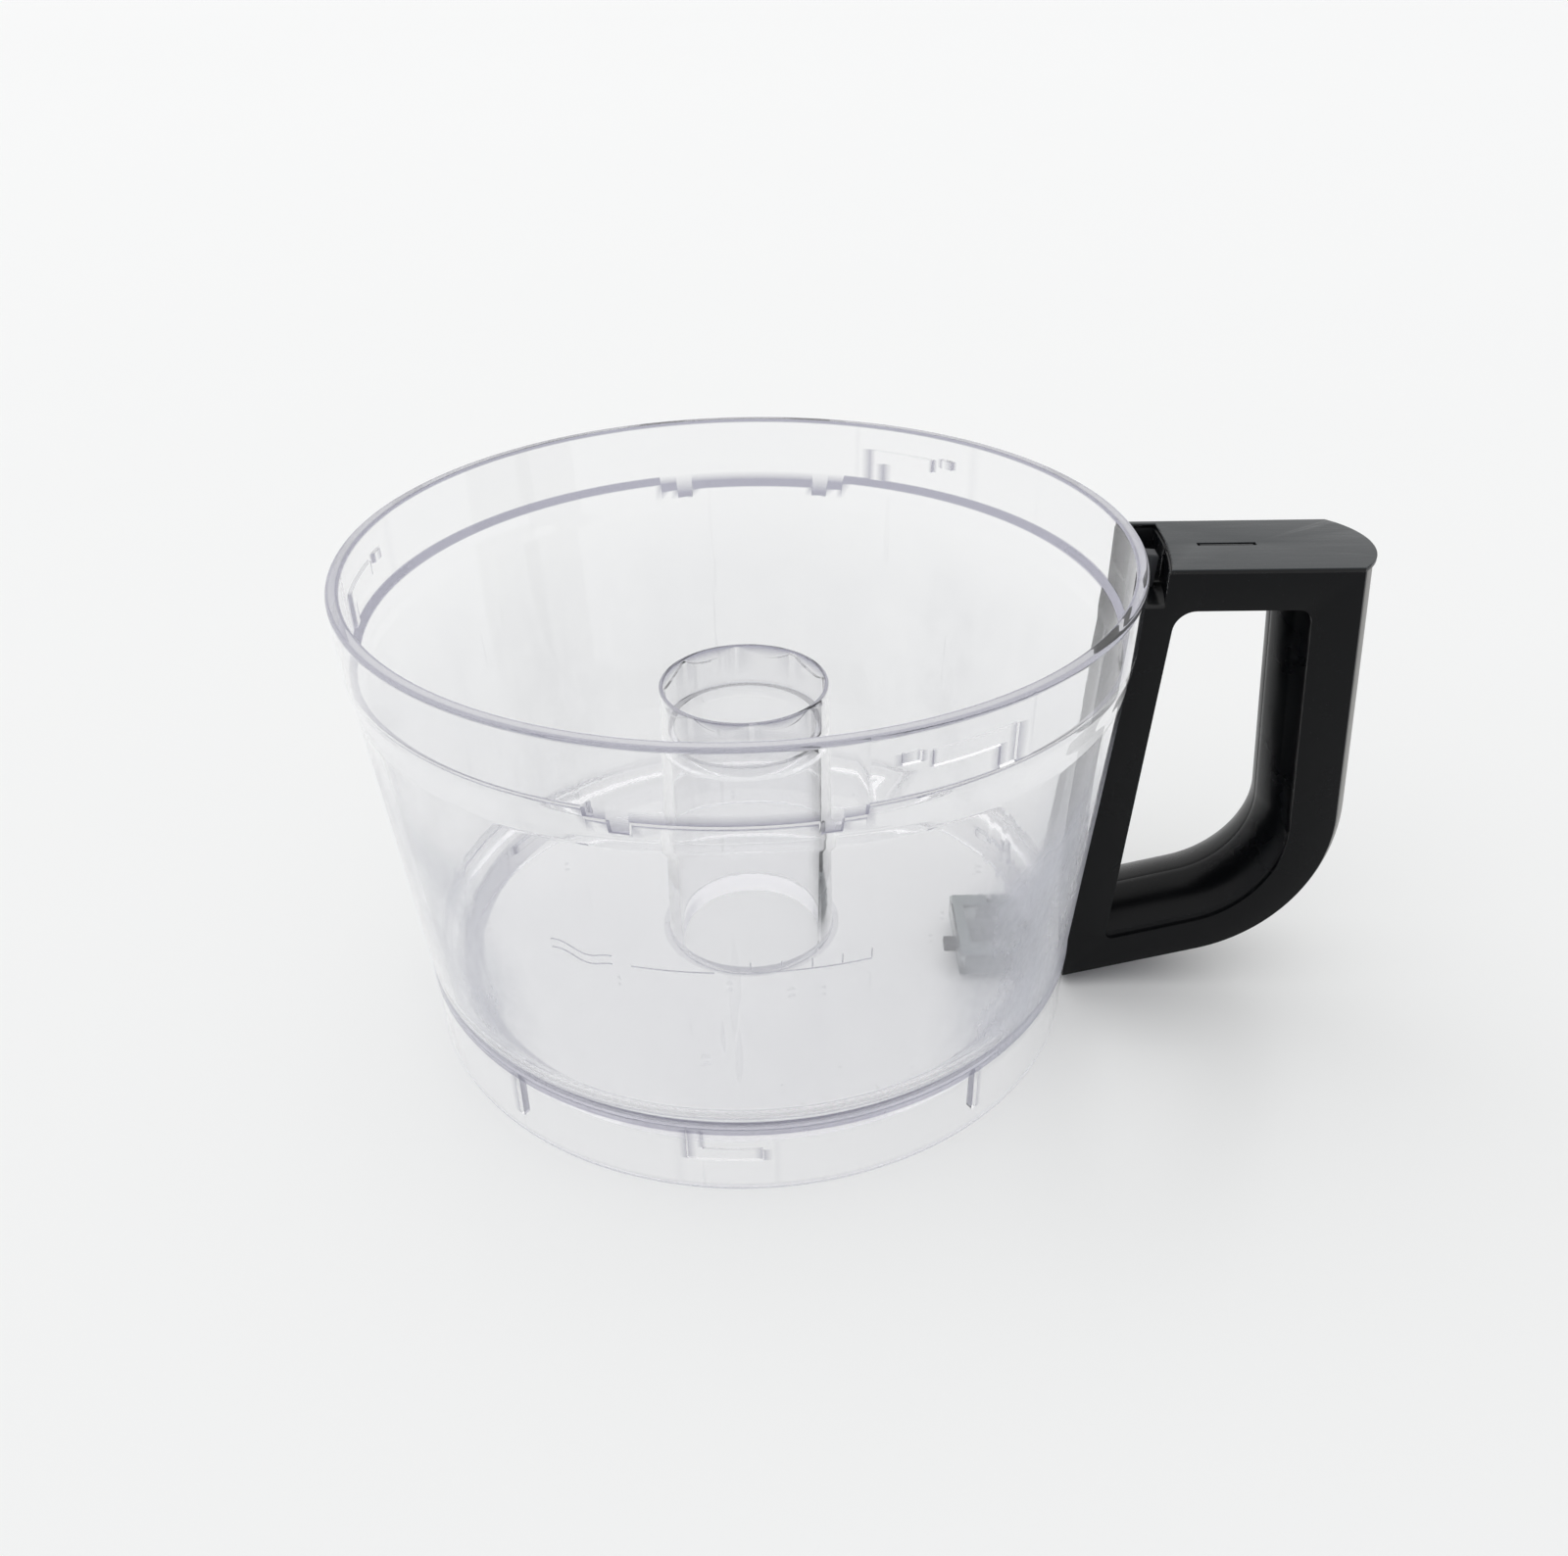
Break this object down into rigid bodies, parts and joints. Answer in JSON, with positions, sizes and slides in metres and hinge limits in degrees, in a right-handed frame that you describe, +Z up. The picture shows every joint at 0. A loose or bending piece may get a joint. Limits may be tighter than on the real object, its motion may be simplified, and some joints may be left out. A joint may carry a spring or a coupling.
{
  "type": "food processor work bowl",
  "caption": "Clear food processor work bowl with centre tube, black loop handle and a spring-loaded lid interlock inside the handle.",
  "frame": {"origin": "on the bowl's axis, in the plane that the skirt stands on", "axes": "+Z up along the bowl's axis, +X towards the handle"},
  "size_m": [0.283, 0.2148, 0.1414],
  "materials": {
    "clear_bowl": "clear, water-white, polished",
    "black_handle": "black, satin moulded, lightly scuffed",
    "cap_plate": "dark grey satin lacquer",
    "spine_steel": "satin brushed",
    "screw_steel": "zinc plated",
    "black_plug": "black, satin moulded",
    "grey_acetal": "grey, moulded",
    "rod_acetal": "dark grey, moulded",
    "guide_acetal": "grey, moulded",
    "spring_steel": "bright drawn wire",
    "slide_acetal": "dark grey, moulded",
    "box_translucent": "smoky translucent",
    "cover_translucent": "smoky translucent",
    "gasket_rubber": "soft black"
  },
  "bodies": {
    "bowl_and_handle": {"bowl": "clear_bowl", "handle_shell_near": "black_handle", "handle_shell_far": "black_handle", "handle_cap": "cap_plate", "spine_trim": "spine_steel", "handle_screws": "screw_steel", "screw_plugs": "black_plug", "rod_guide": "guide_acetal", "pushrod_spring": "spring_steel", "slide_spring": "spring_steel", "interlock_box": "box_translucent", "interlock_box_cover": "cover_translucent", "box_gasket": "gasket_rubber", "box_screws": "screw_steel"},
    "rod_and_pusher": {"pushrod": "rod_acetal", "lid_tab_pusher": "grey_acetal"},
    "slide": {"interlock_slide": "slide_acetal"}
  },
  "joints": [
    {"name": "pushrod_travel", "type": "slide", "parent": "bowl_and_handle", "child": "rod_and_pusher", "axis": [0.087, 0, 0.9962], "range_m": [-0.005, 0], "stiffness_N_per_m": 250, "springref_m": 0.006, "deforming": ["pushrod_spring"]},
    {"name": "slide_travel", "type": "slide", "parent": "bowl_and_handle", "child": "slide", "axis": [1, 0, 0], "range_m": [-0.00542, 0], "stiffness_N_per_m": 150, "springref_m": 0.004, "deforming": ["slide_spring"]}
  ],
  "couplings": [
    {"joint": "slide_travel", "follows": "pushrod_travel", "ratio": 1.0832}
  ]
}
